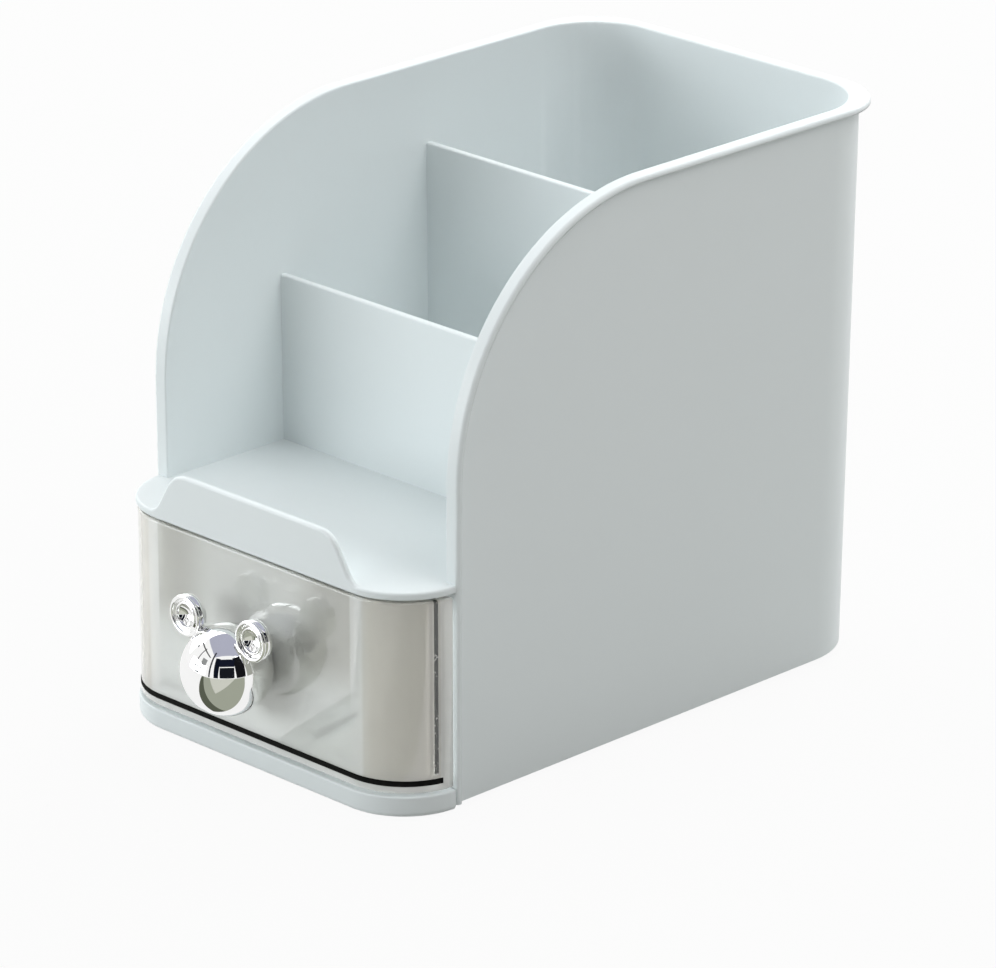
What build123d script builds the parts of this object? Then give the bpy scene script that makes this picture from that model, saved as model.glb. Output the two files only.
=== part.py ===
from build123d import *
import os

os.makedirs("parts", exist_ok=True)

# A desk brush holder with a clear drawer under its tray, in millimetres.
# +Z is up and the drawer opens towards -Y. The origin lies on the table, under the middle of the
# whole object. Plan positions along Y start from the front edges of the side walls.

# ---------------------------------------------------------------- driving dimensions
# Body: one white moulding whose walls lean outwards a little, for release from the mould
body_width = 100.0            # across the side walls, at their foot
side_lean = 1.8               # the walls are this much further apart at the rim
body_depth = 146.2            # front edge of the side walls to the back face, at the foot
back_lean = 2.0               # the body is this much deeper at the rim
body_height = 141.0           # underside of the base to the rim
wall = 2.8
corner_foot = 22.0            # plan radius of the two back corners, at the foot
corner_ease = 1.0             # the radius is this much smaller at the rim
foot_lift = 1.2               # the walls stop this far above the underside of the base
arch_radius = 61.5            # the quarter arch that cuts each side wall's front corner

# Rim: a thicker band that follows the walls' free edge
rim_overhang = 1.2
rim_depth = 1.4
rim_corner_ease = 2.4         # the rim's back corners are this much tighter than the walls'
rim_outer_round = 1.0
rim_inner_round = 0.5

# Tray deck, which is also the floor of the compartments
deck_top = 56.0               # above the underside of the base
deck_thickness = 1.9
front_flare = 1.0             # tray and base stand out this far beside the walls' foot
deck_overhang = 16.9          # how far the tray stands out in front of the side walls
deck_corner = 17.5
deck_edge_round = 0.6

# Lip along the tray's front edge
lip_rise = 11.2               # above the deck
lip_thickness = 2.0
lip_top_half = 26.8           # half width where the sloping ends would meet the top
lip_foot_half = 33.6          # half width where the sloping ends would meet the deck
lip_top_round = 7.0
lip_foot_round = 4.5
lip_edge_round = 0.8

# Dividers
divider_thickness = 2.1
front_divider_y = 39.0        # middle of its thickness
front_divider_height = 98.2
back_divider_y = 88.3
back_divider_height = 120.3
divider_edge_round = 0.5

# Base, which plugs in between the walls and shows as a ledge under the drawer
base_height = 5.3
base_proud = 0.4              # the ledge stands this far in front of the tray's edge
base_bottom_round = 1.5
base_top_round = 0.5
base_skin = 2.0               # under the drawer, over the hollow underside
base_skirt = 2.0              # round the hollow underside
base_fit = 0.2                # gap between the plug and the walls
ledge_gap = 0.3               # gap between the ledge and the walls' front edges

# Snap fit that holds the base in the body
snap_height = 1.0
snap_depth = 0.6
snap_play = 0.2
snap_z = 2.2                  # underside of the ridge, above the underside of the base
snap_end_room = 25.0          # from each end of the side walls to the ridge
snap_back_end_room = 24.0     # from each side of the body to the back ridge

# Drawer
drawer_gap_above = 0.7        # drawer front to deck
drawer_gap_below = 0.6        # drawer front to ledge
drawer_inset = 0.4            # the drawer front stands this far inside the deck's outline
drawer_wall = 2.2
drawer_shoulder = 2.7         # thickness of the shoulder where the front steps in to the box
drawer_front_gap = 0.7        # shoulder to the side walls' front edges
drawer_side_gap = 0.8         # box to each side wall, at the foot
drawer_back_gap = 5.4         # drawer to the inside of the back wall
drawer_rim_drop = 2.5         # the box is lower than the front by this much
drawer_floor = 1.5
drawer_skirt = 1.7            # the front's lower edge hangs this far below the floor slab
drawer_running_gap = 0.3      # box to the top of the base
drawer_edge_round = 0.5
drawer_travel = 105.0
stop_clearance = 0.3

# Guides and stops for the drawer
rail_height = 1.4
rail_thickness = 1.7
rail_play = 0.3
rail_start_y = 6.0
rail_end_room = 6.0           # rail's end to the drawer's back
back_stop_height = 6.0
back_stop_width = 30.0
back_stop_thickness = 2.0
hook_drop = 1.8               # the stop rib hangs this far below the deck
hook_width = 40.0
hook_thickness = 2.0
catch_play = 0.7              # the catch on the drawer's back to the underside of the deck

# Knob: a plain ball head with two dished ears
head_radius = 11.05
head_stand = 8.5              # ball centre in front of the drawer's face
head_height = 27.9            # ball centre above the underside of the base
ear_radius = 5.1
ear_thickness = 3.2
ear_out = 11.3                # ear centre beside the ball centre
ear_up = 10.9                 # ear centre above the ball centre
ear_forward = 3.1             # ear front before the ball centre
ear_ring = 0.85               # radius of the rounded ring round each ear
ear_dish = 1.1
neck_half_depth = 1.2         # fore and aft
neck_half_width = 2.6         # along the ball, wide enough to fill the notch beside the ear

# Fastening of the knob
screw_drop = 2.5              # screw axis below the ball centre
screw_radius = 1.65
screw_play = 0.1
screw_grip = 7.0              # length inside the knob
screw_end_room = 1.0          # depth of the hole beyond the screw
screw_head_radius = 2.9
screw_head_height = 2.3
screw_recess_width = 0.9
screw_recess_length = 3.2
screw_recess_depth = 1.1
washer_radius = 4.4
washer_thickness = 0.8
panel_boss_radius = 5.2
panel_boss_height = 1.2
panel_hole_play = 0.35

# Anti-slip pads in shallow seats under the base
pad_radius = 5.0
pad_thickness = 1.2
pad_proud = 0.4
pad_seat_play = 0.3
pad_bevel = 0.3
pad_inset_x = 12.0            # pad centre inside the body's side, at the foot
pad_front_y = -2.0
pad_back_inset = 22.0         # back pads inside the body's back, at the foot

# Ribs under the base
rib_thickness = 1.6
rib_count_across = 5
pad_boss_radius = 8.0

# ---------------------------------------------------------------- places that follow from them
body_width_top = body_width + side_lean
body_depth_top = body_depth + back_lean
corner_top = corner_foot - corner_ease
rim_corner = corner_top - rim_corner_ease
deck_width = body_width + 2 * front_flare

front_reach = deck_overhang - drawer_inset + head_stand + head_radius
back_reach = body_depth_top + rim_overhang
wall_front_y = (front_reach - back_reach) / 2

base_z = pad_proud
foot_z = base_z + foot_lift
rim_z = base_z + body_height
deck_z = base_z + deck_top
ledge_z = base_z + base_height
deck_under_z = deck_z - deck_thickness

drawer_face_y = wall_front_y - deck_overhang + drawer_inset
drawer_shoulder_y = wall_front_y - drawer_front_gap
drawer_top_z = deck_under_z - drawer_gap_above
drawer_bottom_z = ledge_z + drawer_gap_below
drawer_floor_z = drawer_bottom_z + drawer_skirt
drawer_face_width = deck_width - 2 * drawer_inset
drawer_box_width = body_width - 2 * wall - 2 * drawer_side_gap
inside_back_y = wall_front_y + body_depth - wall
drawer_back_face_y = inside_back_y - drawer_back_gap
drawer_inner_back_y = drawer_back_face_y - drawer_wall

knob_y = drawer_face_y - head_stand
knob_z = base_z + head_height
screw_z = knob_z - screw_drop
panel_inner_y = drawer_face_y + drawer_wall
washer_y = panel_inner_y + panel_boss_height
screw_head_y = washer_y + washer_thickness


def at_height(z, foot_value, top_value):
    """Value at height z of a size that runs straight from the walls' foot to the rim."""
    share = (z - foot_z) / (rim_z - foot_z)
    return foot_value + share * (top_value - foot_value)


def rear_rounded(z, width, front_y, back_y, corner):
    """Plan outline at height z, square in front and rounded at its two back corners."""
    with BuildSketch(Plane.XY.offset(z)) as outline:
        with Locations((0, (front_y + back_y) / 2)):
            Rectangle(width, back_y - front_y)
        fillet(outline.vertices().group_by(Axis.Y)[-1], radius=corner)
    return outline.sketch


def front_rounded(z, width, front_y, back_y, corner):
    """Plan outline at height z, rounded at its two front corners and cut square at back_y."""
    with BuildSketch(Plane.XY.offset(z)) as outline:
        with Locations((0, front_y + width / 2)):
            RectangleRounded(width, width, corner)
        with Locations((0, back_y + width / 2)):
            Rectangle(width, width, mode=Mode.SUBTRACT)
    return outline.sketch


def wall_section(z, outset, corner_outset):
    """Plan outline of the walls at height z, moved outwards by outset (inwards if negative)."""
    width = at_height(z, body_width, body_width_top) + 2 * outset
    back_y = wall_front_y + at_height(z, body_depth, body_depth_top) + outset
    corner = at_height(z, corner_foot, corner_top) + corner_outset
    return rear_rounded(z, width, wall_front_y - wall, back_y, corner)


def side_profile(inset):
    """Side view of the walls with the quarter arch, moved inwards by inset at the free edge."""
    low_z = foot_z
    high_z = rim_z - inset
    near_y = wall_front_y + inset
    far_y = wall_front_y + body_depth_top + 2 * wall
    with BuildSketch(Plane.YZ) as profile:
        with Locations(((near_y + far_y) / 2, (low_z + high_z) / 2)):
            Rectangle(far_y - near_y, high_z - low_z)
        arch_corner = profile.vertices().group_by(Axis.Y)[-1].sort_by(Axis.X)[0]
        fillet(arch_corner, radius=arch_radius - inset)
    return profile.sketch


# ---------------------------------------------------------------- forms used to cut and trim
through = wall                # how far cutting forms run past what they cut
closeness = 0.01              # how near to a surface an edge counts as lying on it

with BuildPart() as cavity:
    low_section = wall_section(foot_z - through, -wall, -wall)
    high_section = wall_section(rim_z + through, -wall, -wall)
    loft([low_section, high_section], ruled=True)

with BuildPart() as arch_form:
    extrude(side_profile(0), amount=body_width, both=True)

with BuildPart() as field_form:
    extrude(side_profile(rim_depth), amount=body_width, both=True)

# ---------------------------------------------------------------- rim
rim_extra = rim_corner - corner_top

with BuildPart() as rim:
    rim_foot_section = wall_section(foot_z, rim_overhang, rim_extra)
    rim_top_section = wall_section(rim_z, rim_overhang, rim_extra)
    loft([rim_foot_section, rim_top_section], ruled=True)
    add(arch_form.part, mode=Mode.INTERSECT)
    add(field_form.part, mode=Mode.SUBTRACT)
    add(cavity.part, mode=Mode.SUBTRACT)

    def on_free_edge(edge):
        """True for an edge that lies on the front plane, on the arch or on the rim's top."""
        point = edge.position_at(0.5)
        arch_y = wall_front_y + arch_radius
        arch_z = rim_z - arch_radius
        reach = ((point.Y - arch_y) ** 2 + (point.Z - arch_z) ** 2) ** 0.5
        on_arch = abs(reach - arch_radius) < closeness and point.Y < arch_y and point.Z > arch_z
        on_front = abs(point.Y - wall_front_y) < closeness and edge.length > 2 * wall
        on_top = abs(point.Z - rim_z) < closeness and edge.length > 2 * wall
        return on_arch or on_front or on_top

    def from_inside(edge):
        """Distance from the middle of an edge to the room inside the walls."""
        return cavity.part.distance_to(edge.position_at(0.5))

    free_edges = rim.edges().filter_by(on_free_edge)
    outer_edges = free_edges.filter_by(lambda edge: from_inside(edge) > wall / 2)
    inner_edges = free_edges.filter_by(lambda edge: from_inside(edge) < wall / 2)
    fillet(outer_edges, radius=rim_outer_round)
    fillet(inner_edges, radius=rim_inner_round)

# ---------------------------------------------------------------- lip along the tray's front
deck_front_y = wall_front_y - deck_overhang
lobe_back_y = wall_front_y + rim_depth - rim_outer_round
lip_root_z = deck_z - deck_thickness / 2
lip_top_z = deck_z + lip_rise
lip_root_half = lip_foot_half + 2 * lip_foot_round

with BuildPart() as lip:
    # Front view of the lip, with a smooth S at each end, carried along the tray's edge
    with BuildSketch(Plane.XZ.offset(-deck_front_y)):
        with BuildLine():
            right_end = FilletPolyline(
                (lip_root_half, deck_z),
                (lip_foot_half, deck_z),
                (lip_top_half, lip_top_z),
                (0, lip_top_z),
                radius=[lip_foot_round, lip_top_round],
            )
            Polyline(right_end @ 0, (lip_root_half, lip_root_z), (0, lip_root_z))
            mirror(about=Plane.YZ)
        make_face()
    extrude(amount=deck_corner, both=True)
    tray_edge = front_rounded(lip_root_z, deck_width, deck_front_y, lobe_back_y, deck_corner)
    extrude(tray_edge, amount=lip_rise + deck_thickness, mode=Mode.INTERSECT)
    inside_edge = front_rounded(
        lip_root_z,
        deck_width - 2 * lip_thickness,
        deck_front_y + lip_thickness,
        lobe_back_y + lip_thickness,
        deck_corner - lip_thickness,
    )
    extrude(inside_edge, amount=lip_rise + deck_thickness, mode=Mode.SUBTRACT)
    upper_edges = lip.edges().filter_by(lambda edge: edge.position_at(0.5).Z > deck_z + closeness)
    long_edges = upper_edges.filter_by(lambda edge: edge.length > 1.5 * lip_thickness)
    fillet(long_edges, radius=lip_edge_round)

# ---------------------------------------------------------------- tray in front of the walls
with BuildPart() as tray_lobe:
    lobe_outline = front_rounded(deck_under_z, deck_width, deck_front_y, lobe_back_y, deck_corner)
    extrude(lobe_outline, amount=deck_thickness)
    lobe_edges = tray_lobe.edges().filter_by(Plane.XY)
    fillet(lobe_edges.sort_by(Axis.Y)[:-2], radius=deck_edge_round)

# ---------------------------------------------------------------- dividers
deck_inside_width = at_height(deck_z, body_width, body_width_top) - wall
divider_root_z = deck_z - deck_thickness / 2

with BuildPart() as dividers:
    for divider_y, divider_height in (
        (front_divider_y, front_divider_height),
        (back_divider_y, back_divider_height),
    ):
        with BuildSketch(Plane.XY.offset(divider_root_z)):
            with Locations((0, wall_front_y + divider_y)):
                Rectangle(deck_inside_width, divider_thickness)
        extrude(amount=base_z + divider_height - divider_root_z)
    top_edges = dividers.edges().filter_by(Axis.X).filter_by(lambda edge: edge.center().Z > deck_z)
    fillet(top_edges, radius=divider_edge_round)

# ---------------------------------------------------------------- organiser shell
hook_back_y = drawer_inner_back_y - drawer_travel - stop_clearance
snap_low_z = base_z + snap_z
inside_half = at_height(foot_z, body_width, body_width_top) / 2 - wall
snap_length = body_depth - 2 * snap_end_room
snap_back_length = body_width - 2 * snap_back_end_room
snap_middle_y = wall_front_y + body_depth / 2

with BuildPart() as organiser_shell:
    # Walls below the rim band
    loft([wall_section(foot_z, 0, 0), wall_section(rim_z, 0, 0)], ruled=True)
    add(field_form.part, mode=Mode.INTERSECT)
    add(cavity.part, mode=Mode.SUBTRACT)
    add(rim.part)
    # Deck, which is the tray in front and the floor behind, and its lip
    extrude(wall_section(deck_under_z, -wall / 2, -wall / 2), amount=deck_thickness)
    add(tray_lobe.part)
    add(lip.part)
    add(dividers.part)
    # Ridges that snap into the base's grooves
    with BuildSketch(Plane.XY.offset(snap_low_z)):
        ridge_root = wall / 4
        ridge_width = snap_depth + ridge_root
        with Locations(
            (inside_half + ridge_root - ridge_width / 2, snap_middle_y),
            (-inside_half - ridge_root + ridge_width / 2, snap_middle_y),
        ):
            Rectangle(ridge_width, snap_length)
        with Locations((0, inside_back_y + ridge_root - ridge_width / 2)):
            Rectangle(snap_back_length, ridge_width)
    extrude(amount=snap_height)
    # Stop rib under the deck, which the drawer's catch meets when the drawer is open
    with BuildSketch(Plane.XY.offset(deck_under_z - hook_drop)):
        with Locations((0, hook_back_y - hook_thickness / 2)):
            Rectangle(hook_width, hook_thickness)
    extrude(amount=hook_drop + deck_thickness / 2)

organiser_shell.part.label = "organiser_shell"
export_step(organiser_shell.part, "parts/organiser_shell.step")

# ---------------------------------------------------------------- base plate
plug_half = inside_half - base_fit
plug_back_y = inside_back_y - base_fit
plug_corner = corner_foot - wall - base_fit
ledge_back_y = wall_front_y - ledge_gap
ledge_front_y = wall_front_y - deck_overhang - base_proud
base_corner = deck_corner + base_proud
pocket_depth = base_height - base_skin
rail_outer_half = drawer_box_width / 2 - drawer_wall - rail_play
rail_start = wall_front_y + rail_start_y
rail_length = drawer_back_face_y - rail_end_room - rail_start
pad_points = [
    (side * (body_width / 2 - pad_inset_x), wall_front_y + pad_y)
    for pad_y in (pad_front_y, body_depth - pad_back_inset)
    for side in (-1, 1)
]

with BuildPart() as ledge:
    ledge_outline = front_rounded(base_z, deck_width, ledge_front_y, ledge_back_y, base_corner)
    extrude(ledge_outline, amount=base_height)
    bottom_edges = ledge.faces().sort_by(Axis.Z)[0].edges()
    fillet(bottom_edges.sort_by(Axis.Y)[:-1], radius=base_bottom_round)
    top_edges = ledge.faces().sort_by(Axis.Z)[-1].edges()
    fillet(top_edges.sort_by(Axis.Y)[:-1], radius=base_top_round)

with BuildPart() as base_plate:
    plug_outline = rear_rounded(base_z, 2 * plug_half, ledge_back_y, plug_back_y, plug_corner)
    extrude(plug_outline, amount=base_height)
    add(ledge.part)
    # Hollow underside with ribs and a boss for each pad
    front_pocket = front_rounded(
        base_z,
        deck_width - 2 * base_skirt,
        ledge_front_y + base_skirt,
        ledge_back_y - base_skirt,
        base_corner - base_skirt,
    )
    back_pocket = rear_rounded(
        base_z,
        2 * (plug_half - base_skirt),
        ledge_back_y - base_skirt,
        plug_back_y - base_skirt,
        plug_corner - base_skirt,
    )
    with BuildSketch(Plane.XY.offset(base_z)):
        add(front_pocket)
        add(back_pocket)
        rib_pitch = (plug_back_y - ledge_back_y) / rib_count_across
        for rib_number in range(rib_count_across):
            with Locations((0, ledge_back_y + rib_number * rib_pitch)):
                Rectangle(deck_width, rib_thickness, mode=Mode.SUBTRACT)
        with Locations((0, (ledge_front_y + plug_back_y) / 2)):
            Rectangle(rib_thickness, plug_back_y - ledge_front_y, mode=Mode.SUBTRACT)
        with Locations(*pad_points):
            Circle(pad_boss_radius, mode=Mode.SUBTRACT)
    extrude(amount=pocket_depth, mode=Mode.SUBTRACT)
    # Grooves for the body's snap ridges
    groove_depth = snap_depth + snap_play - base_fit
    with BuildSketch(Plane.XY.offset(snap_low_z)):
        with Locations((plug_half, snap_middle_y), (-plug_half, snap_middle_y)):
            Rectangle(2 * groove_depth, snap_length + 2 * snap_play)
        with Locations((0, plug_back_y)):
            Rectangle(snap_back_length + 2 * snap_play, 2 * groove_depth)
    extrude(amount=snap_height + snap_play, mode=Mode.SUBTRACT)
    # Seats for the pads
    with BuildSketch(Plane.XY.offset(base_z)):
        with Locations(*pad_points):
            Circle(pad_radius + pad_seat_play)
    extrude(amount=pad_thickness - pad_proud, mode=Mode.SUBTRACT)
    # Rails that guide the drawer from inside its side skirts, and the stop behind it
    with BuildSketch(Plane.XY.offset(ledge_z)):
        rail_middle = rail_outer_half - rail_thickness / 2
        with Locations(
            (rail_middle, rail_start + rail_length / 2),
            (-rail_middle, rail_start + rail_length / 2),
        ):
            Rectangle(rail_thickness, rail_length)
    extrude(amount=rail_height)
    with BuildSketch(Plane.XY.offset(ledge_z)):
        with Locations((0, drawer_back_face_y + stop_clearance + back_stop_thickness / 2)):
            Rectangle(back_stop_width, back_stop_thickness)
    extrude(amount=back_stop_height)

base_plate.part.label = "base_plate"
export_step(base_plate.part, "parts/base_plate.step")

# ---------------------------------------------------------------- anti-slip pads
for pad_number, (pad_x, pad_y) in enumerate(pad_points, start=1):
    with BuildPart() as rest_pad:
        with BuildSketch(Plane.XY):
            with Locations((pad_x, pad_y)):
                Circle(pad_radius)
        extrude(amount=pad_thickness)
        chamfer(rest_pad.faces().sort_by(Axis.Z)[0].edges(), length=pad_bevel)
    rest_pad.part.label = f"rest_pad_{pad_number}"
    export_step(rest_pad.part, f"parts/rest_pad_{pad_number}.step")

# ---------------------------------------------------------------- drawer
drawer_corner = deck_corner - drawer_inset
drawer_back_corner = corner_foot - wall - drawer_side_gap
drawer_inner_front_y = drawer_face_y + drawer_wall
shoulder_front_y = drawer_shoulder_y - drawer_shoulder
floor_top_z = drawer_floor_z + drawer_floor
box_bottom_z = ledge_z + drawer_running_gap
box_top_z = drawer_top_z - drawer_rim_drop
catch_top_z = deck_under_z - catch_play

with BuildPart() as drawer_front:
    face_outline = front_rounded(
        drawer_bottom_z, drawer_face_width, drawer_face_y, drawer_shoulder_y, drawer_corner
    )
    extrude(face_outline, amount=drawer_top_z - drawer_bottom_z)
    level_edges = drawer_front.edges().filter_by(Plane.XY)
    fillet(level_edges, radius=drawer_edge_round)

with BuildPart() as drawer:
    box_outline = rear_rounded(
        box_bottom_z, drawer_box_width, shoulder_front_y, drawer_back_face_y, drawer_back_corner
    )
    extrude(box_outline, amount=box_top_z - box_bottom_z)
    # Catch on the back wall, which meets the stop rib
    with BuildSketch(Plane.XY.offset(drawer_floor_z)):
        with Locations((0, drawer_back_face_y - drawer_wall / 2)):
            Rectangle(hook_width, drawer_wall)
    extrude(amount=catch_top_z - drawer_floor_z)
    add(drawer_front.part)
    # Inside, above the floor
    front_room = front_rounded(
        floor_top_z,
        drawer_face_width - 2 * drawer_wall,
        drawer_inner_front_y,
        shoulder_front_y,
        drawer_corner - drawer_wall,
    )
    extrude(front_room, amount=drawer_top_z - floor_top_z, mode=Mode.SUBTRACT)
    back_room = rear_rounded(
        floor_top_z,
        drawer_box_width - 2 * drawer_wall,
        shoulder_front_y - drawer_wall,
        drawer_inner_back_y,
        drawer_back_corner - drawer_wall,
    )
    extrude(back_room, amount=drawer_top_z - floor_top_z, mode=Mode.SUBTRACT)
    # Hollow under the floor, which leaves skirts that run on the base
    front_hollow = front_rounded(
        box_bottom_z,
        drawer_face_width - 2 * drawer_wall,
        drawer_inner_front_y,
        shoulder_front_y,
        drawer_corner - drawer_wall,
    )
    extrude(front_hollow, amount=drawer_floor_z - box_bottom_z, mode=Mode.SUBTRACT)
    with BuildSketch(Plane.XY.offset(box_bottom_z)):
        with Locations((0, (shoulder_front_y + drawer_back_face_y) / 2)):
            hollow_length = drawer_back_face_y - shoulder_front_y + 2 * drawer_wall
            Rectangle(drawer_box_width - 2 * drawer_wall, hollow_length)
    extrude(amount=drawer_floor_z - box_bottom_z, mode=Mode.SUBTRACT)
    # Boss and hole for the knob's screw
    with BuildSketch(Plane.XZ.offset(-panel_inner_y)):
        with Locations((0, screw_z)):
            Circle(panel_boss_radius)
    extrude(amount=-panel_boss_height)
    with BuildSketch(Plane.XZ.offset(-drawer_face_y)):
        with Locations((0, screw_z)):
            Circle(screw_radius + panel_hole_play)
    extrude(amount=-(drawer_wall + panel_boss_height), mode=Mode.SUBTRACT)

drawer.part.label = "drawer"
export_step(drawer.part, "parts/drawer.step")

# ---------------------------------------------------------------- knob
ear_reach = (ear_out**2 + ear_up**2) ** 0.5

seat_radius = (head_radius**2 - head_stand**2) ** 0.5

with BuildPart() as knob:
    # Ball with the flat back that seats on the drawer, turned about the fore-and-aft axis
    with BuildSketch(Plane.XY.offset(knob_z)):
        with BuildLine():
            ball_seat = (seat_radius, drawer_face_y)
            ball_arc = ThreePointArc(
                ball_seat,
                (head_radius, knob_y),
                (0, knob_y - head_radius),
            )
            Polyline(ball_arc @ 1, (0, drawer_face_y), ball_seat)
        make_face()
    revolve(axis=Axis((0, knob_y, knob_z), (0, 1, 0)))
    for side in (-1, 1):
        # A short neck that joins the ear to the ball
        neck_plane = Plane(
            origin=(0, knob_y - ear_forward + ear_thickness / 2, knob_z),
            x_dir=(0, 1, 0),
            z_dir=(side * ear_out, 0, ear_up),
        )
        with BuildSketch(neck_plane):
            Ellipse(neck_half_depth, neck_half_width)
        extrude(amount=ear_reach - ear_radius + ear_ring)
        # Half section of the ear, turned about its own axis
        ear_front = (side * ear_out, knob_y - ear_forward, knob_z + ear_up)
        with BuildSketch(Plane(origin=ear_front, x_dir=(1, 0, 0), z_dir=(0, 0, 1))):
            with BuildLine():
                dish_edge = (ear_radius - 2 * ear_ring, ear_ring)
                dish = TangentArc((0, ear_dish), dish_edge, tangent=(1, 0))
                ring = ThreePointArc(dish @ 1, (ear_radius - ear_ring, 0), (ear_radius, ear_ring))
                back = FilletPolyline(
                    ring @ 1, (ear_radius, ear_thickness), (0, ear_thickness), radius=ear_ring
                )
                Line(back @ 1, dish @ 0)
            make_face()
        revolve(axis=Axis(ear_front, (0, 1, 0)))
    # Hole for the screw
    with BuildSketch(Plane.XZ.offset(-drawer_face_y)):
        with Locations((0, screw_z)):
            Circle(screw_radius + screw_play)
    extrude(amount=screw_grip + screw_end_room, mode=Mode.SUBTRACT)

knob.part.label = "knob"
export_step(knob.part, "parts/knob.step")

# ---------------------------------------------------------------- knob screw and washer
with BuildPart() as knob_screw:
    with BuildSketch(Plane.XZ.offset(-screw_head_y)):
        with Locations((0, screw_z)):
            Circle(screw_radius)
    extrude(amount=screw_head_y - drawer_face_y + screw_grip)
    with BuildSketch(Plane.XZ.offset(-screw_head_y)):
        with Locations((0, screw_z)):
            Circle(screw_head_radius)
    extrude(amount=-screw_head_height)
    fillet(knob_screw.edges().group_by(Axis.Y)[-1], radius=screw_head_height / 3)
    with BuildSketch(Plane.XZ.offset(-screw_head_y - screw_head_height)):
        with Locations((0, screw_z)):
            Rectangle(screw_recess_length, screw_recess_width)
            Rectangle(screw_recess_width, screw_recess_length)
    extrude(amount=screw_recess_depth, mode=Mode.SUBTRACT)

knob_screw.part.label = "knob_screw"
export_step(knob_screw.part, "parts/knob_screw.step")

with BuildPart() as knob_washer:
    with BuildSketch(Plane.XZ.offset(-washer_y)):
        with Locations((0, screw_z)):
            Circle(washer_radius)
            Circle(screw_radius + panel_hole_play, mode=Mode.SUBTRACT)
    extrude(amount=-washer_thickness)

knob_washer.part.label = "knob_washer"
export_step(knob_washer.part, "parts/knob_washer.step")
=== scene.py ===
# %% [markdown]
# # A brush holder with a clear drawer
# This notebook dresses a desk brush holder: a white moulded body with arched side walls, a clear
# drawer under its tray, and a bright plated knob with two dished ears. The measured solids are
# loaded first, and nothing may grow past them, so each size below is the solid's own, in metres.
# The order is: the camera, a few helpers, the finishes, the pieces, and the studio. The solids are
# copied where they already have every rounding, and the knob is made anew from turned surfaces.

import math

import bmesh
import bpy
import numpy as np
from mathutils import Matrix, Vector


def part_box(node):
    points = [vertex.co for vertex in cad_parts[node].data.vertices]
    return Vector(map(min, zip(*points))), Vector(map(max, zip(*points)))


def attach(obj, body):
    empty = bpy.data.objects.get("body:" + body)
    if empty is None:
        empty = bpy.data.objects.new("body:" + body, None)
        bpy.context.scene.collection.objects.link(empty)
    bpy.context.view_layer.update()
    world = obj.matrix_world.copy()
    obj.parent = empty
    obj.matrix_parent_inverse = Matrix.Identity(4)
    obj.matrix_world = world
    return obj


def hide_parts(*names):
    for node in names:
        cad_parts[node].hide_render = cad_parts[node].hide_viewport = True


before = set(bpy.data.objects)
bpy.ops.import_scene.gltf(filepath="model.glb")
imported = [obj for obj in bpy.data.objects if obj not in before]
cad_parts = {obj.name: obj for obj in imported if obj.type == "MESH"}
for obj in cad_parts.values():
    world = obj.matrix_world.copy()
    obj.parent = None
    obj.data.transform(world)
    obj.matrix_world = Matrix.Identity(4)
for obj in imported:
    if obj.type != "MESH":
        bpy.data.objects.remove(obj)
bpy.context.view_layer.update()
print("solids:", sorted(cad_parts))

# %% [markdown]
# ## The camera
# A product photographer stands back and uses a long lens, so that upright lines stay nearly
# parallel. The camera looks down by about 21 degrees from the front right. Its three axes could
# come from a tracking constraint, but they follow directly from its angles, so the matrix is built
# from the axes and nothing has to aim the camera later.

# %% Camera
azimuth = math.radians(45.215)
elevation = math.radians(20.893)
roll = math.radians(-0.067)
camera_place = Vector((1.00482, -0.98980, 0.59081))
lens_mm, sensor_mm, farthest_seen = 226.91, 36.0, 20.0

backward = Vector((math.sin(azimuth) * math.cos(elevation),
                   -math.cos(azimuth) * math.cos(elevation),
                   math.sin(elevation)))
rightward = Vector((math.cos(azimuth), math.sin(azimuth), 0.0))
upward = backward.cross(rightward)
tilted_right = rightward * math.cos(roll) + upward * math.sin(roll)
tilted_up = upward * math.cos(roll) - rightward * math.sin(roll)

camera_data = bpy.data.cameras.new("camera")
camera_data.sensor_width = sensor_mm
camera_data.lens = lens_mm
camera_data.clip_end = farthest_seen
camera = bpy.data.objects.new("camera", camera_data)
bpy.context.scene.collection.objects.link(camera)
turn = Matrix((tilted_right, tilted_up, backward)).transposed()
camera.matrix_world = Matrix.Translation(camera_place) @ turn.to_4x4()
bpy.context.scene.camera = camera
print("the camera stands at", tuple(round(value, 3) for value in camera_place))

# %% [markdown]
# ## Turning grids of points into a mesh
# Each new surface is a function of two parameters, worked out as one array of points with rows,
# columns and three coordinates. One helper joins every point to its neighbours with four-sided
# faces and closes the grid on itself where asked. The arrays are whole, so nothing loops over
# points, and the same helper serves a ball, a ring or a neck.


# %% From grids to a mesh
def mesh_from_grids(name, grids):
    """Mesh of point grids whose columns run all the way round.

    The face at (i, j) joins the points (i, j), (i, j + 1), (i + 1, j + 1) and (i + 1, j), and the
    last column is joined to the first.
    """
    points = []
    faces = []
    start = 0
    for grid in grids:
        rows, columns = grid.shape[:2]
        number = start + np.arange(rows * columns).reshape(rows, columns)
        number = np.concatenate([number, number[:, :1]], axis=1)
        corners = np.stack([number[:-1, :-1], number[:-1, 1:],
                            number[1:, 1:], number[1:, :-1]], axis=-1)
        faces.append(corners.reshape(-1, 4))
        points.append(grid.reshape(-1, 3))
        start += rows * columns
    mesh = bpy.data.meshes.new(name)
    mesh.from_pydata(np.concatenate(points).tolist(), [], np.concatenate(faces).tolist())
    mesh.validate()
    print(name, "grids:", [grid.shape[:2] for grid in grids])
    return mesh


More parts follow.
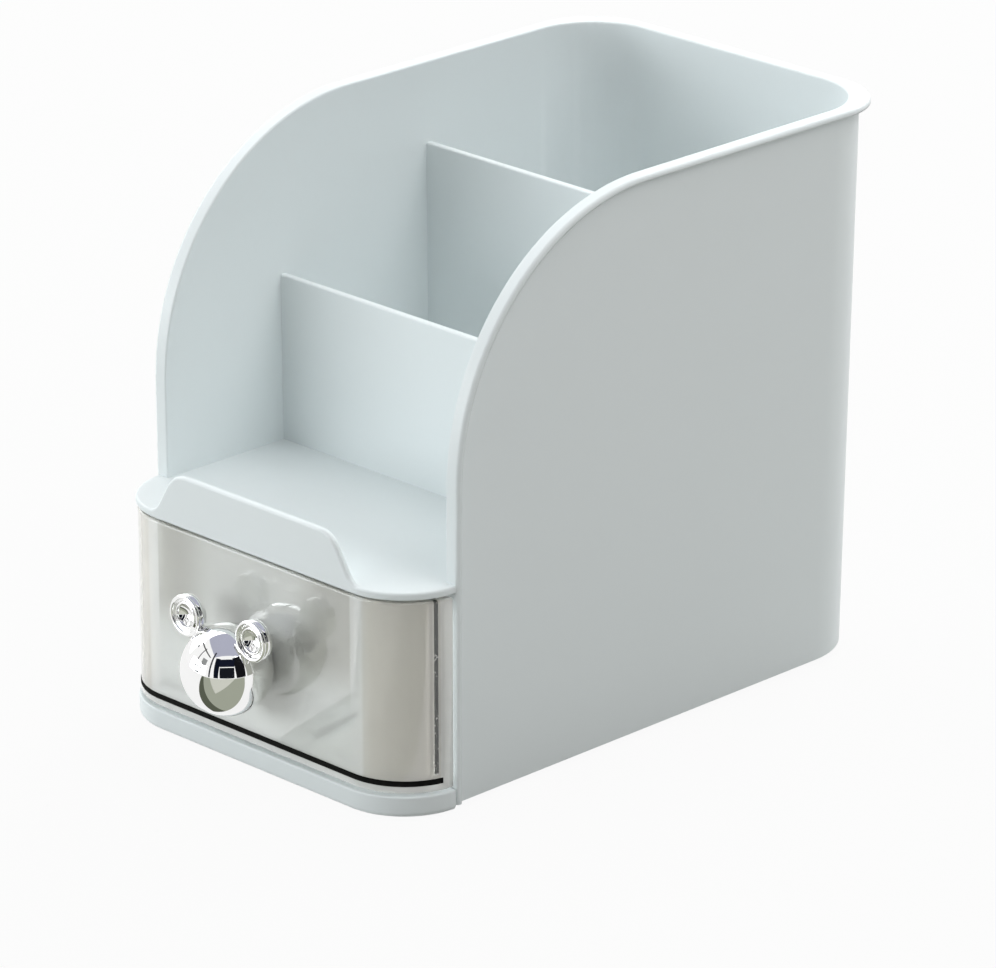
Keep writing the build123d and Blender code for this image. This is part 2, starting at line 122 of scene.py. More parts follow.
# %% [markdown]
# ## Finishing a piece
# A grid that ends in a pole has many points in one place there, and a solid's mesh comes as loose
# triangles. Merging equal points joins both up. Then the faces are turned outwards and shaded
# smooth, except across edges that are sharper than a chosen angle. Last, the piece gets its finish
# and rides on its body, and the solid that it stands for, when one is given, is hidden.


# %% Finish and copy helpers
def finish_piece(name, mesh, body, material, node=None, merge=2e-6, sharp_degrees=25.0):
    """Object of a mesh that is merged, turned outwards, shaded smooth and carried by a body."""
    work = bmesh.new()
    work.from_mesh(mesh)
    bmesh.ops.remove_doubles(work, verts=work.verts, dist=merge)
    bmesh.ops.dissolve_degenerate(work, edges=work.edges, dist=merge)
    bmesh.ops.recalc_face_normals(work, faces=work.faces)
    work.to_mesh(mesh)
    work.free()
    mesh.polygons.foreach_set("use_smooth", np.ones(len(mesh.polygons), bool))
    mesh.set_sharp_from_angle(angle=math.radians(sharp_degrees))
    mesh.materials.clear()
    mesh.materials.append(material)
    piece = bpy.data.objects.new(name, mesh)
    bpy.context.scene.collection.objects.link(piece)
    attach(piece, body)
    if node:
        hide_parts(node)
    print(name, "has", len(mesh.vertices), "points and", len(mesh.polygons), "faces")
    return piece


def smooth_copy(name, node, body, material):
    """Copy of a solid whose flat facets are shaded as the curved surfaces that they stand for.

    Larger faces count most in the shading, so flat walls stay flat right up to their roundings.
    """
    piece = finish_piece(name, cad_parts[node].data.copy(), body, material, node)
    weighted = piece.modifiers.new("weighted", "WEIGHTED_NORMAL")
    weighted.keep_sharp = True
    weighted.weight = 100


# %% [markdown]
# ## Helpers for the finishes
# A finish is a small graph of nodes. Numbers that are the same all over go straight onto the
# shader's sockets. What varies is worked out from the Object coordinates, which for these pieces
# are the part's own places in metres, so a pattern stays put when the drawer moves.


# %% Finish helpers
def new_material(name):
    """Material with its node tree and its shader."""
    material = bpy.data.materials.new(name)
    material.use_nodes = True
    return material, material.node_tree, material.node_tree.nodes["Principled BSDF"]


def set_numbers(shader, **values):
    """Set the shader's own sockets by name, with underscores for spaces."""
    for socket, value in values.items():
        shader.inputs[socket.replace("_", " ")].default_value = value


def object_places(tree):
    """Socket that gives each point's place on the part, in metres."""
    return tree.nodes.new("ShaderNodeTexCoord").outputs["Object"]


def noise(tree, per_metre, detail=2.0):
    """Soft random pattern from 0 to 1, with the given number of blotches in a metre."""
    texture = tree.nodes.new("ShaderNodeTexNoise")
    texture.inputs["Scale"].default_value = per_metre
    texture.inputs["Detail"].default_value = detail
    tree.links.new(object_places(tree), texture.inputs["Vector"])
    return texture.outputs["Fac"]


def between(tree, source, low, high, out_low=0.0, out_high=1.0, smooth=True):
    """Rise from out_low to out_high while the source goes from low to high."""
    rise = tree.nodes.new("ShaderNodeMapRange")
    rise.interpolation_type = "SMOOTHSTEP" if smooth else "LINEAR"
    ends = {"From Min": low, "From Max": high, "To Min": out_low, "To Max": out_high}
    for socket, value in ends.items():
        rise.inputs[socket].default_value = value
    tree.links.new(source, rise.inputs["Value"])
    return rise.outputs["Result"]


def combine(tree, operation, first, second):
    """Result of a math node on two sockets, or on a socket and a number."""
    node = tree.nodes.new("ShaderNodeMath")
    node.operation = operation
    tree.links.new(first, node.inputs[0])
    if isinstance(second, (int, float)):
        node.inputs[1].default_value = second
    else:
        tree.links.new(second, node.inputs[1])
    return node.outputs[0]


def combine_all(tree, operation, first, *others):
    """Result of one math node after another on a row of sockets."""
    for other in others:
        first = combine(tree, operation, first, other)
    return first


def blend_colours(tree, share, first, second):
    """Colour that goes from the first to the second as the share goes from 0 to 1.

    The node has a set of sockets for each kind of value, and those for colours are 6 and 7 in and
    2 out.
    """
    node = tree.nodes.new("ShaderNodeMix")
    node.data_type = "RGBA"
    for socket, colour in ((node.inputs[6], first), (node.inputs[7], second)):
        if isinstance(colour, tuple):
            socket.default_value = (*colour, 1.0)
        else:
            tree.links.new(colour, socket)
    tree.links.new(share, node.inputs[0])
    return node.outputs[2]


def add_bump(tree, shader, heights, metres, strength):
    """Raise the surface by a pattern, through the shader's normal."""
    bump = tree.nodes.new("ShaderNodeBump")
    bump.inputs["Strength"].default_value = strength
    bump.inputs["Distance"].default_value = metres
    tree.links.new(heights, bump.inputs["Height"])
    tree.links.new(bump.outputs["Normal"], shader.inputs["Normal"])


# %% [markdown]
# ## White satin plastic
# The body and its base are injection moulded in one white plastic. The mould is spark eroded, so
# the surface is satin, with a fine grain that can only be seen where light grazes it, and a slow
# waviness where the thick and thin places cooled at different speeds. A picture could carry this,
# but noises do it at any size: a slow one for the hue, a quicker one for the gloss, and a fine and
# a coarse one together for the grain.

# %% White plastic
white_deep, white_pale = (0.83, 0.88, 0.885), (0.85, 0.90, 0.905)
satin_least, satin_most = 0.36, 0.46
grain_height = 0.00002

white_plastic, tree, shader = new_material("satin_white_plastic")
set_numbers(shader, IOR=1.46)
slow_cooling = noise(tree, 14.0, detail=3.0)
tree.links.new(blend_colours(tree, slow_cooling, white_deep, white_pale), shader.inputs["Base Color"])
satin = between(tree, noise(tree, 420.0), 0.3, 0.7, satin_least, satin_most)
tree.links.new(satin, shader.inputs["Roughness"])
mould_grain = combine(tree, "ADD", noise(tree, 2600.0, detail=1.0), noise(tree, 110.0, detail=0.0))
add_bump(tree, shader, mould_grain, grain_height, 0.35)
print("made", white_plastic.name)

# %% [markdown]
# ## Clear plastic of the drawer
# The drawer is moulded in a clear, slightly smoky plastic, and its thick places bend and trap
# light. The shoulder where the front steps in to the box shows as a dark upright line with a pale
# band behind it. Pale bands also run along the front's foot and up its bends, where the flat turns
# into the round corners. The flat itself looks darkest near its top, except in its middle, from
# shade and reflection. Tracing trapped light takes very many bounces, so all of these are painted
# into the colour at their true places instead: the dark line is painted shade, the pale bands are
# painted highlights, and the flat's darker top is painted shade and reflection. Each one is a
# product of soft steps across, along and up the part.

# %% Clear plastic, marks
# Each pair, in metres, says where a step begins and where it is full.
line_front, line_back = (-0.06235, -0.0622), (-0.0612, -0.06135)
at_side, above_foot = (0.0470, 0.0475), (0.0105, 0.0110)
bend_inner, bend_outer, bend_along = (0.0325, 0.0333), (0.0372, 0.0360), (-0.0690, -0.0700)
foot_below, foot_along = (0.00825, 0.00805), (-0.0580, -0.0590)
behind_line = (-0.0608, -0.0606)

clear_plastic, tree, shader = new_material("smoky_clear_plastic")
set_numbers(shader, IOR=1.49, Transmission_Weight=0.5, Coat_Weight=1.0, Coat_Roughness=0.015,
            Coat_IOR=1.5)
split = tree.nodes.new("ShaderNodeSeparateXYZ")
tree.links.new(object_places(tree), split.inputs[0])
across, along, height = split.outputs
off_middle = combine(tree, "ABSOLUTE", across, 0.0)

# The dark line is painted shade for light trapped at the shoulder, broken into patches by a noise.
dark_line_patches = between(tree, noise(tree, 900.0, detail=1.0), 0.62, 0.70, 1.0, 0.45)
painted_dark_line = combine_all(
    tree, "MULTIPLY", between(tree, along, *line_front), between(tree, along, *line_back),
    between(tree, off_middle, *at_side), between(tree, height, *above_foot), dark_line_patches)
# The corner, foot and side bands are painted highlights.
corner_band = combine_all(
    tree, "MULTIPLY", between(tree, off_middle, *bend_inner), between(tree, off_middle, *bend_outer),
    between(tree, along, *bend_along))
foot_band = combine(tree, "MULTIPLY", between(tree, height, *foot_below),
                    between(tree, along, *foot_along))
side_band = combine(tree, "MULTIPLY", between(tree, along, *behind_line),
                    between(tree, off_middle, *at_side))
painted_highlight_bands = combine_all(tree, "MAXIMUM", corner_band, foot_band, side_band)
print("the clear plastic has three pale bands and a dark line")

# %% [markdown]
# The tints are laid over each other: first the plain smoke in slow soft patches, then the flat
# front's painted shade, then the painted highlight bands, and the painted dark line last. The
# surface has a hard gloss. A coat gives the sharp mirror image of the knob, over a body that is a
# little blurred by fine rubbing marks.

# %% Clear plastic, colours
smoke_deep, smoke_thin = (0.85, 0.83, 0.77), (0.88, 0.86, 0.81)
# The flat's darker colour is painted shade near its top, and the clear one is the flat without it.
# The band tint is a painted highlight and the line tint is painted shade.
flat_painted_shade, flat_unshaded = (0.70, 0.70, 0.655), (0.97, 0.99, 0.965)
painted_highlight_tint, painted_line_shade = (0.98, 0.99, 0.97), (0.01, 0.01, 0.008)
flat_ends, flat_along, flat_falls = (0.0345, 0.0330), (-0.0700, -0.0705), (0.037, 0.023)
middle_left, middle_right, middle_share = (-0.027, -0.013), (0.025, 0.011), 0.7
rubbed_least, rubbed_most = 0.05, 0.12

smoke_and_flat_shade = blend_colours(tree, noise(tree, 30.0), smoke_deep, smoke_thin)
# The flat front is painted darker near its top, except in its middle, as painted shade and
# reflection.
flat_front = combine(tree, "MULTIPLY", between(tree, off_middle, *flat_ends),
                     between(tree, along, *flat_along))
pale_middle = combine(tree, "MULTIPLY", between(tree, across, *middle_left, 0.0, middle_share),
                      between(tree, across, *middle_right))
flat_light = combine(tree, "MAXIMUM", between(tree, height, *flat_falls), pale_middle)
flat_colour = blend_colours(tree, flat_light, flat_painted_shade, flat_unshaded)
smoke_and_flat_shade = blend_colours(tree, flat_front, smoke_and_flat_shade, flat_colour)
banded = blend_colours(tree, painted_highlight_bands, smoke_and_flat_shade, painted_highlight_tint)
lined = blend_colours(tree, painted_dark_line, banded, painted_line_shade)
tree.links.new(lined, shader.inputs["Base Color"])
rubbing = between(tree, noise(tree, 240.0, detail=4.0), 0.35, 0.75, rubbed_least, rubbed_most)
tree.links.new(rubbing, shader.inputs["Roughness"])
print("made", clear_plastic.name)

# %% [markdown]
# Light has to reach what is inside the drawer. A ray that looks for a lamp would be stopped by
# solid plastic, which gives black shadows, so for those rays alone the plastic is passed through.

# %% Let lamp light through
output = tree.nodes["Material Output"]
passing = tree.nodes.new("ShaderNodeBsdfTransparent")
path = tree.nodes.new("ShaderNodeLightPath")
choose = tree.nodes.new("ShaderNodeMixShader")
tree.links.new(path.outputs["Is Shadow Ray"], choose.inputs[0])
tree.links.new(shader.outputs[0], choose.inputs[1])
tree.links.new(passing.outputs[0], choose.inputs[2])
tree.links.new(choose.outputs[0], output.inputs["Surface"])
print("lamp light passes", clear_plastic.name)

# %% [markdown]
# ## Bright plating
# The knob is plastic with a bright metal plating. Plating follows the moulding under it, so a
# mirror image in it is a little wavy, and handling leaves faint patches that are less sharp. Its
# colour is nearly white metal. Nearly all of its look comes from what stands round it, so the
# studio below gets panels to be mirrored.

# %% Plating
handled_metal, clean_metal = (0.90, 0.90, 0.89), (0.95, 0.95, 0.95)
clean_blur, handled_blur = 0.02, 0.06
wave_height = 0.00003

plating, tree, shader = new_material("bright_plating")
set_numbers(shader, Metallic=1.0)
metal = blend_colours(tree, noise(tree, 160.0), handled_metal, clean_metal)
tree.links.new(metal, shader.inputs["Base Color"])
handling = between(tree, noise(tree, 500.0, detail=3.0), 0.4, 0.8, clean_blur, handled_blur)
tree.links.new(handling, shader.inputs["Roughness"])
add_bump(tree, shader, noise(tree, 260.0, detail=1.0), wave_height, 0.4)
print("made", plating.name)

# %% [markdown]
# ## Small finishes
# The screw that holds the knob is steel with a black oxide finish, a little rusty brown in its
# wear. The strip at the drawer's foot is a matt black that paints the shade of the light trap at
# the drawer's floor. The washer and the four pads are silicone rubber: matt, and slightly speckled
# with dust. The three differ only in numbers, so one function makes a finish from two noises, one
# for the colour and one for the gloss, and a third where there is a grain to feel.


# %% Screw, strip, washer and pads
def speckled_material(name, colour_noise, colours, gloss_noise, roughness, grain=None, **values):
    """Material whose colour and gloss each vary between two values.

    Each of their noises is given as its blotches in a metre and its detail. A grain is given as
    its blotches in a metre, its height in metres and its strength.
    """
    material, tree, shader = new_material(name)
    set_numbers(shader, **values)
    colour = blend_colours(tree, noise(tree, *colour_noise), *colours)
    tree.links.new(colour, shader.inputs["Base Color"])
    gloss = between(tree, noise(tree, *gloss_noise), 0.3, 0.7, *roughness)
    tree.links.new(gloss, shader.inputs["Roughness"])
    if grain:
        per_metre, metres, strength = grain
        add_bump(tree, shader, noise(tree, per_metre), metres, strength)
    return material


dark_steel = speckled_material(
    "black_oxide_steel", (1500.0, 2.0), ((0.012, 0.012, 0.013), (0.035, 0.028, 0.024)),
    (2200.0, 2.0), (0.28, 0.5), grain=(3000.0, 0.00002, 0.5), Metallic=0.6)
painted_shade_black = speckled_material(
    "painted_shade_black", (700.0, 2.0), ((0.0015, 0.002, 0.0015), (0.005, 0.005, 0.004)),
    (1200.0, 2.0), (0.7, 0.9), Specular_IOR_Level=0.1)
rubber = speckled_material(
    "silicone_rubber", (1800.0, 4.0), ((0.52, 0.54, 0.54), (0.66, 0.68, 0.68)),
    (900.0, 2.0), (0.55, 0.75), grain=(2400.0, 0.00003, 0.6))
print("made", dark_steel.name, painted_shade_black.name, "and", rubber.name)

# %% [markdown]
# ## The white body
# The body is one moulding: walls with quarter arches, a rim that stands proud of them, two
# dividers, the tray and its lip. It could be modelled again from surfaces, but the measured solid
# already has every rounding, so its mesh is copied. Merging its triangles and shading them
# smooth, weighted by their area, makes the flat walls truly flat and the bends round.

# %% Body and base
smooth_copy("moulded_body", "organiser_shell", "holder", white_plastic)
smooth_copy("plug_in_base", "base_plate", "holder", white_plastic)

# %% [markdown]
# ## The clear drawer
# The drawer is also one moulding, with a front that wraps round both corners, a box behind it and
# skirts that slide on the base. Its inside matters as much as its outside because it is seen
# through, and the solid has both, so it is copied in the same way.

# %% Drawer
smooth_copy("clear_drawer", "drawer", "drawer_body", clear_plastic)

# %% [markdown]
# ## The black line at the drawer's foot
# A solid black line runs round the foot of the front, at the height of the drawer's floor, where
# the floor's edge traps light seen through the clear front. It is painted shade: a dark strip laid
# where there is only shade. It mirrors nothing, so it is a thin matt strip and not a tint under the
# gloss. Its small section is carried along the front's outline: straight across, and most of a
# quarter circle at each end.


# %% Foot strip
def front_outline(half_straight, corner_radius, face_y, last_degrees, steps=40):
    """Outline of the drawer's front from one end to the other, with its outward directions.

    It is a straight run at face_y between two arcs, and each arc turns by last_degrees.
    """
    angle = np.radians(np.linspace(0.0, last_degrees, steps))
    outward = np.stack([np.sin(angle), -np.cos(angle)], axis=-1)
    middle = np.array([half_straight, face_y + corner_radius])
    right = middle + corner_radius * outward
    flip = np.array([-1.0, 1.0])
    return (np.concatenate([right[::-1] * flip, right]),
            np.concatenate([outward[::-1] * flip, outward]))


def carried(outline, outward, section):
    """Closed section carried along an outline in plan, with both ends drawn together.

    Point (i, j) is the outline's point i, moved outwards by the section's first value j, at the
    height of its second value.
    """
    plan = outline[:, None, :] + section[None, :, :1] * outward[:, None, :]
    heights = np.broadcast_to(section[None, :, 1:], (len(outline), len(section), 1))
    tube = np.concatenate([plan, heights], axis=-1)
    ends = [np.broadcast_to(row.mean(axis=0), row.shape)[None] for row in (tube[0], tube[-1])]
    return np.concatenate([ends[0], tube, ends[1]])


drawer_face_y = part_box("drawer")[0][1]
front_half_width, front_corner = 0.0506, 0.0171
strip_end_degrees = 76.0
strip_sunk, strip_edge, strip_proud = -0.0004, 0.00004, 0.00012
strip_bottom, strip_top, strip_rounding = 0.00815, 0.00955, 0.0002
strip_merge = 1e-8

strip_section = np.array([
    [strip_sunk, strip_bottom], [strip_edge, strip_bottom],
    [strip_proud, strip_bottom + strip_rounding], [strip_proud, strip_top - strip_rounding],
    [strip_edge, strip_top], [strip_sunk, strip_top]])
outline, outward = front_outline(front_half_width - front_corner, front_corner, drawer_face_y,
                                 strip_end_degrees)
# The strip is painted shade: a dark piece laid in the light trap at the drawer's floor.
strip_mesh = mesh_from_grids("foot_shade_strip", [carried(outline, outward, strip_section)])
finish_piece("foot_shade_strip", strip_mesh, "drawer_body", painted_shade_black, merge=strip_merge)
strip_length = float(np.linalg.norm(np.diff(outline, axis=0), axis=1).sum())
print("the strip runs", round(1000 * strip_length), "mm")

# %% [markdown]
# ## The knob
# The knob is a plain ball with two round ears. It could be made of primitives, but each part is a
# turned shape, so one function turns a half profile about a fore-and-aft axis. The ball ends in
# the flat seat that meets the drawer.


# %% Turned surfaces
def turned(radius, depth, centre, steps=128):
    """Surface turned about the fore-and-aft axis through the centre.

    Point (i, j) is the centre plus (radius_i cos angle_j, depth_i, radius_i sin angle_j), where
    the angle goes once round.
    """
    angle = np.linspace(0.0, 2 * np.pi, steps, endpoint=False)
    x = centre[0] + radius[:, None] * np.cos(angle)
    z = centre[2] + radius[:, None] * np.sin(angle)
    y = centre[1] + depth[:, None] + 0.0 * x
    return np.stack([x, y, z], axis=-1)


def bow(middle_radius, middle_depth, size, first_degrees, last_degrees, steps=14):
    """Part of a circle in the half profile, as an array of (radius, depth).

    A point is the middle plus size times (cos angle, -sin angle), so 90 degrees is in front.
    """
    angle = np.radians(np.linspace(first_degrees, last_degrees, steps))
    return np.stack([middle_radius + size * np.cos(angle),
                     middle_depth - size * np.sin(angle)], axis=-1)


ball_centre = np.array([0.0, -0.081675, 0.0283])
ball_radius = 0.01105
seat_depth = 0.0085
seat_angle = math.acos(-seat_depth / ball_radius)
sweep = np.linspace(0.0, seat_angle, 72)
ball_profile_radius = np.append(ball_radius * np.sin(sweep), 0.0)
ball_profile_depth = np.append(-ball_radius * np.cos(sweep), seat_depth)
ball_grid = turned(ball_profile_radius, ball_profile_depth, ball_centre, steps=160)
print("the ball is", round(2000 * ball_radius, 1), "mm across")

# %% [markdown]
# Each ear is a small dish. From its middle outwards, its front has a hollow, a fine inner ring, a
# groove and a wire-like outer ring. Behind the ring it draws in a little and then swells into a
# rounded back. The half profile joins these as parts of circles, which keeps the bright lines that
# they mirror thin and even.

# %% Ear profile
ear_radius, ear_thickness = 0.0051, 0.0032
hollow_edge, hollow_bottom, hollow_rise = 0.00275, 0.00235, 0.0016
ring_depth, ring_middle, ring_size = 0.00075, 0.0031, 0.00035
groove_middle, groove_size = 0.00375, 0.0003
wire_size = 0.000525
back_radius, back_bulge, back_depth, back_swell = 0.00415, 0.0009, 0.0020, 0.0012

hollow_radius = np.linspace(0.0, hollow_edge, 16)
hollow_depth = hollow_bottom - hollow_rise * (hollow_radius / hollow_radius[-1]) ** 2
hollow = np.stack([hollow_radius, hollow_depth], axis=-1)
inner_ring = bow(ring_middle, ring_depth, ring_size, 180, 0)
groove = bow(groove_middle, ring_depth, groove_size, 180, 360)
wire_ring = bow(ear_radius - wire_size, wire_size, wire_size, 180, -40, steps=22)
back_angle = np.radians(np.linspace(60, -90, 20))
swelling = np.stack([back_radius + back_bulge * np.cos(back_angle),
                     back_depth - back_swell * np.sin(back_angle)], axis=-1)
back_middle = np.array([[0.0, ear_thickness]])
ear_profile = np.concatenate([hollow, inner_ring, groove[1:], wire_ring, swelling, back_middle])
print("the ear's half profile has", len(ear_profile), "points")

# %% [markdown]
# A short neck joins each ear to the ball. It flares at both ends, like a saddle, because metal
# plating cannot follow a sharp inside corner. Its oval sections are carried along a straight line
# from the ball's axis towards the ear.


# %% Necks and knob
neck_half_width, neck_width_flare = 0.0021, 0.0015
neck_half_depth, neck_depth_flare = 0.00095, 0.0005


def saddle(start, direction, depth_axis, first, last, rows=16, steps=48):
    """Tube of oval sections carried along a straight line, narrowest in the middle.

    It runs from the first to the last distance from the start. Where u goes from -1 to 1 along
    it, the half width is neck_half_width + neck_width_flare u^2, and the half depth is
    neck_half_depth + neck_depth_flare u^2.
    """
    direction = direction / np.linalg.norm(direction)
    width_axis = np.cross(direction, depth_axis)
    u = np.linspace(-1.0, 1.0, rows)[:, None, None]
    distance = first + (last - first) * (u + 1) / 2
    angle = np.linspace(0.0, 2 * np.pi, steps, endpoint=False)[None, :, None]
    half_width = neck_half_width + neck_width_flare * u**2
    half_depth = neck_half_depth + neck_depth_flare * u**2
    return (start + distance * direction + half_width * np.cos(angle) * width_axis
            + half_depth * np.sin(angle) * depth_axis)


ear_sideways, ear_forwards, ear_upwards = 0.0113, 0.0031, 0.0109
neck_first, neck_last = 0.0088, 0.0124
knob_merge, knob_sharp_degrees = 1e-7, 50.0

fore_and_aft = np.array([0.0, 1.0, 0.0])
knob_grids = [ball_grid]
for side in (-1, 1):
    place = ball_centre + np.array([side * ear_sideways, -ear_forwards, ear_upwards])
    knob_grids.append(turned(ear_profile[:, 0], ear_profile[:, 1], place))
    neck_start = ball_centre + np.array([0.0, place[1] - ball_centre[1] + ear_thickness / 2, 0.0])
    to_ear = place - ball_centre
    to_ear[1] = 0.0
    knob_grids.append(saddle(neck_start, to_ear, fore_and_aft, neck_first, neck_last))
knob_mesh = mesh_from_grids("plated_knob", knob_grids)
finish_piece("plated_knob", knob_mesh, "drawer_body", plating, "knob",
             merge=knob_merge, sharp_degrees=knob_sharp_degrees)

# %% [markdown]
# ## Screw, washer and pads
# A small screw holds the knob from inside the drawer, over a soft washer, and four pads keep the
# base from sliding. The screw is copied to round its head. The washer and the pads are plain
# discs whose solids are right as they are, so these only get their finish.

# %% Screw, washer and pads
smooth_copy("knob_screw_dressed", "knob_screw", "drawer_body", dark_steel)
for node in ("knob_washer", "rest_pad_1", "rest_pad_2", "rest_pad_3", "rest_pad_4"):
    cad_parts[node].material_slots[0].material = rubber
print("washer and pads have", rubber.name)

# %% [markdown]
# ## The floor
# The part stands on a plain pale floor that should look white and still keep the part's soft
# shadow. So most of what the camera sees of the floor is a white glow, and the rest is a matt
# grey that takes the shadow. Rays that come by way of metal or clear plastic see the same, and
# light that spreads from the floor to the part comes from the matt grey alone.


# %% Floor
def seen_directly(tree):
    """Socket that is 1 for rays from the camera, or by way of gloss or clear material."""
    path = tree.nodes.new("ShaderNodeLightPath")
    return combine_all(tree, "MAXIMUM", path.outputs["Is Camera Ray"], path.outputs["Is Glossy Ray"],
                       path.outputs["Is Transmission Ray"])


floor_reach = 4.0
floor_colour = (0.5, 0.5, 0.48)
glow_share = 0.94

floor_mesh = bpy.data.meshes.new("floor")
floor_corners = [(floor_reach * x, floor_reach * y, 0)
                 for x, y in ((-1, -1), (1, -1), (1, 1), (-1, 1))]
floor_mesh.from_pydata(floor_corners, [], [(0, 1, 2, 3)])
floor = bpy.data.objects.new("floor", floor_mesh)
bpy.context.scene.collection.objects.link(floor)

floor_white, tree, shader = new_material("floor_white")
set_numbers(shader, Base_Color=(*floor_colour, 1), Roughness=0.9, Specular_IOR_Level=0.0)
glow = tree.nodes.new("ShaderNodeEmission")
mix = tree.nodes.new("ShaderNodeMixShader")
tree.links.new(combine(tree, "MULTIPLY", seen_directly(tree), glow_share), mix.inputs[0])
tree.links.new(shader.outputs[0], mix.inputs[1])
tree.links.new(glow.outputs[0], mix.inputs[2])
tree.links.new(mix.outputs[0], tree.nodes["Material Output"].inputs["Surface"])
floor_mesh.materials.append(floor_white)
print("the floor reaches", floor_reach, "m each way")

# %% [markdown]
# ## The light of the room
# The world is a plain white room. The camera, gloss and clear plastic see it at full white, and
# the light that it casts on matt surfaces is dimmer, so that the softboxes can shape the walls.

# %% World
level_seen, level_for_matt = 1.0, 0.19

world = bpy.data.worlds.new("white_room")
bpy.context.scene.world = world
world.use_nodes = True
tree = world.node_tree
background = tree.nodes["Background"]
background.inputs["Color"].default_value = (1, 1, 1, 1)
level = between(tree, seen_directly(tree), 0.0, 1.0, level_for_matt, level_seen, smooth=False)
tree.links.new(level, background.inputs["Strength"])
print("the room lights matt surfaces at", level_for_matt)

# %% [markdown]
# ## Softboxes
# Large soft lamps give the walls their gentle steps in tone. Each one is a rectangle that faces
# the part. Their strengths were found by rendering each alone and then weighing them together.


# %% Softboxes
def softbox(name, place, aim_height, width, height, watts, colour):
    """Rectangular lamp at a place, facing a point that is on the part's upright axis."""
    lamp = bpy.data.lights.new(name, "AREA")
    lamp.shape = "RECTANGLE"
    lamp.size = width
    lamp.size_y = height
    lamp.energy = watts
    lamp.color = colour
    stand = bpy.data.objects.new(name, lamp)
    bpy.context.scene.collection.objects.link(stand)
    stand.location = place
    aim = Vector((0, 0, aim_height))
    stand.rotation_euler = (aim - Vector(place)).to_track_quat("-Z", "Y").to_euler()
    print(name, "lights with", watts, "watts")


white_light, cool_daylight = (1.0, 1.0, 1.0), (0.96, 1.0, 1.02)
# Name, place, height of the point aimed at, width, height, watts and colour
softboxes = (
    ("overhead_softbox", (-0.2, 0.1, 1.2), 0.05, 1.2, 1.2, 4.3, white_light),
    ("over_right_softbox", (0.7, 0.2, 1.1), 0.05, 1.0, 1.0, 6.6, white_light),
    ("front_left_softbox", (-0.7, -1.2, 0.28), 0.06, 1.2, 0.5, 9.2, cool_daylight),
    ("left_softbox", (-1.2, 0.0, 0.7), 0.06, 1.0, 0.9, 6.2, cool_daylight),
    ("back_softbox", (-0.3, 1.2, 0.9), 0.06, 1.0, 0.9, 14.0, cool_daylight),
)
for row in softboxes:
    softbox(*row)

# %% [markdown]
# ## Panels for the plating to mirror
# A mirror ball shows the whole room, and an empty white room makes it look like paper. So panels
# stand round the part that only mirror rays can see. Each one is placed by the direction in which
# the knob sees it and by how many degrees wide and high it looks from there.


# %% Panel helpers
panel_distance = 0.9


def facing_the_knob(turn_degrees, rise_degrees, wide_degrees, high_degrees):
    """Corners of a flat rectangle that faces the knob.

    Its middle is the ball's centre plus the panels' distance times (sin turn cos rise,
    -cos turn cos rise, sin rise), and half its width is that distance times the tangent of half
    its angle.
    """
    turned_by, risen_by = math.radians(turn_degrees), math.radians(rise_degrees)
    to_panel = np.array([math.sin(turned_by) * math.cos(risen_by),
                         -math.cos(turned_by) * math.cos(risen_by),
                         math.sin(risen_by)])
    sideways = np.array([math.cos(turned_by), math.sin(turned_by), 0.0])
    upwards = np.cross(to_panel, sideways)
    half_side = sideways * panel_distance * math.tan(math.radians(wide_degrees / 2))
    half_rise = upwards * panel_distance * math.tan(math.radians(high_degrees / 2))
    middle = ball_centre + panel_distance * to_panel
    return [middle - half_side - half_rise, middle + half_side - half_rise,
            middle + half_side + half_rise, middle - half_side + half_rise]


def mirrored_panel(name, corners, colour):
    """Flat panel of one colour that is seen in mirrors alone and casts no shadow."""
    mesh = bpy.data.meshes.new(name)
    mesh.from_pydata([tuple(corner) for corner in corners], [], [tuple(range(len(corners)))])
    panel = bpy.data.objects.new(name, mesh)
    bpy.context.scene.collection.objects.link(panel)
    material, _, shader = new_material(name)
    set_numbers(shader, Base_Color=(0, 0, 0, 1), Roughness=1.0, Specular_IOR_Level=0.0,
                Emission_Color=(*colour, 1), Emission_Strength=1.0)
    mesh.materials.append(material)
    panel.visible_camera = False
    panel.visible_diffuse = False
    panel.visible_transmission = False
    panel.visible_shadow = False


print("panels stand", panel_distance, "m from the knob")

# %% [markdown]
# Behind the camera is a window with dark panes, with a cool panel above it. A door's edge, a
# shelf with a picture and a chair's seat give the thin marks on the left, and a curtain gives the
# grey on the right. Two dark flags stand at the right and behind. Below lies a grey table top with
# a dark edge and a pale cloth.

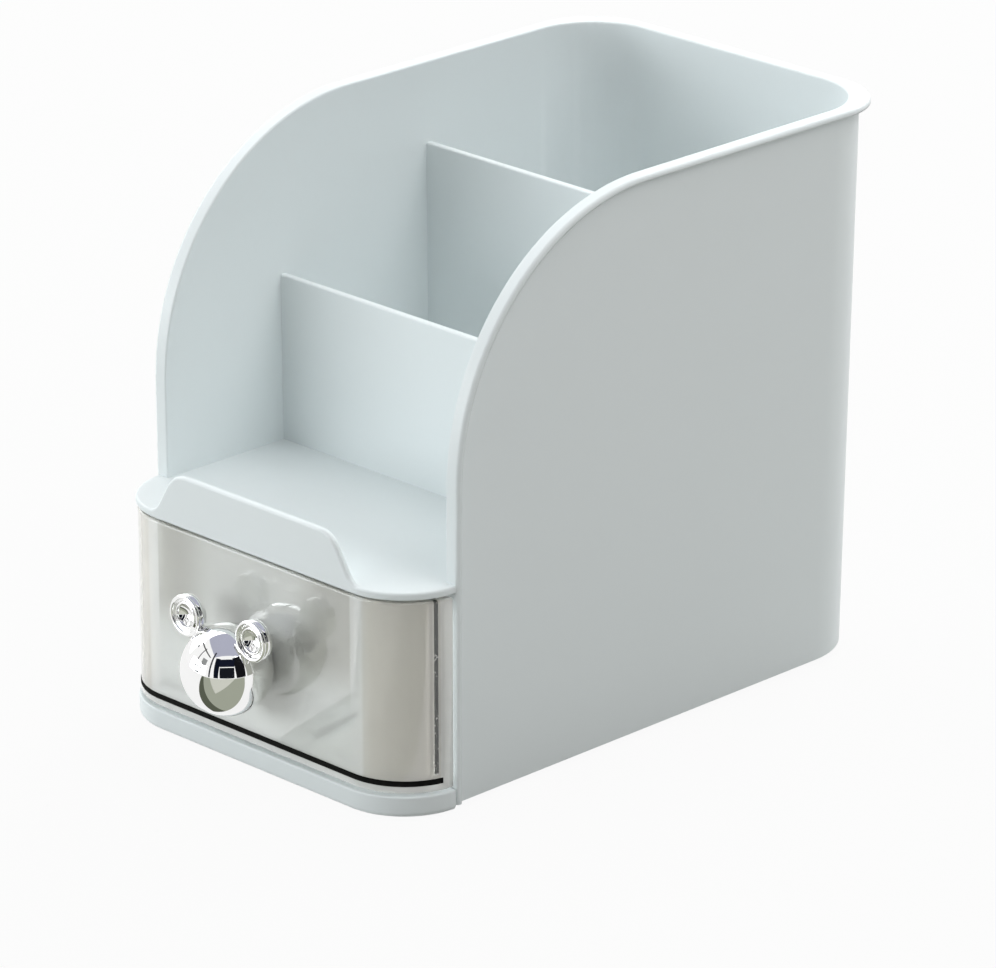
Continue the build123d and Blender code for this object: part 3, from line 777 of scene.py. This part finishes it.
# %% Mirrored panels
# Name, turn, rise, width and height in degrees, and colour
panels = (
    ("window_pane_left", 21.0, 20.0, 12.0, 50.0, (0.006, 0.008, 0.016)),
    ("window_pane_upper", 48.0, 36.0, 36.0, 18.0, (0.008, 0.010, 0.022)),
    ("window_pane_lower", 48.0, 12.0, 36.0, 26.0, (0.010, 0.011, 0.016)),
    ("window_pane_right", 82.0, 22.0, 24.0, 50.0, (0.008, 0.008, 0.010)),
    ("cool_ceiling_panel", 50.0, 86.0, 64.0, 64.0, (0.44, 0.45, 0.55)),
    ("door_edge", 4.0, 26.0, 4.0, 116.0, (0.03, 0.03, 0.04)),
    ("shelf_edge", -24.0, 12.0, 30.0, 2.5, (0.03, 0.03, 0.03)),
    ("shelf_post", -40.0, 26.0, 2.5, 46.0, (0.03, 0.03, 0.03)),
    ("upper_shelf_edge", -40.0, 46.0, 50.0, 2.5, (0.05, 0.05, 0.05)),
    ("picture", -18.0, 26.0, 14.0, 14.0, (0.30, 0.31, 0.31)),
    ("door_handle", -70.0, 32.0, 5.0, 4.0, (0.03, 0.03, 0.03)),
    ("chair_seat", -30.0, 2.0, 12.0, 3.0, (0.03, 0.03, 0.03)),
    ("right_flag", 124.0, 30.0, 16.0, 60.0, (0.10, 0.10, 0.10)),
    ("grey_curtain", 108.0, 16.0, 22.0, 70.0, (0.36, 0.37, 0.33)),
    ("curtain_fold", 134.0, 20.0, 5.0, 70.0, (0.05, 0.05, 0.05)),
    ("back_flag", 205.0, 38.0, 50.0, 20.0, (0.04, 0.04, 0.04)),
)
for name, *angles, colour in panels:
    mirrored_panel(name, facing_the_knob(*angles), colour)

# Name, height in metres, colour, and the corners' places on the floor
floor_panels = (
    ("grey_table", 0.0005, (0.36, 0.38, 0.31),
     ((-0.12, -0.60), (0.60, -0.60), (0.60, -0.08), (-0.006, -0.085))),
    ("table_edge", 0.0007, (0.10, 0.11, 0.08),
     ((-0.13, -0.60), (-0.08, -0.60), (0.002, -0.085), (-0.008, -0.085))),
    ("pale_cloth", 0.0007, (0.62, 0.63, 0.56),
     ((0.06, -0.60), (0.60, -0.60), (0.60, -0.34), (0.014, -0.12))),
)
for name, panel_height, colour, places in floor_panels:
    mirrored_panel(name, [(x, y, panel_height) for x, y in places], colour)
print("panels:", [row[0] for row in panels + floor_panels])

# %% [markdown]
# ## The end
# The standard view shows colours as they are written.

# %% The view
bpy.context.scene.view_settings.view_transform = "Standard"
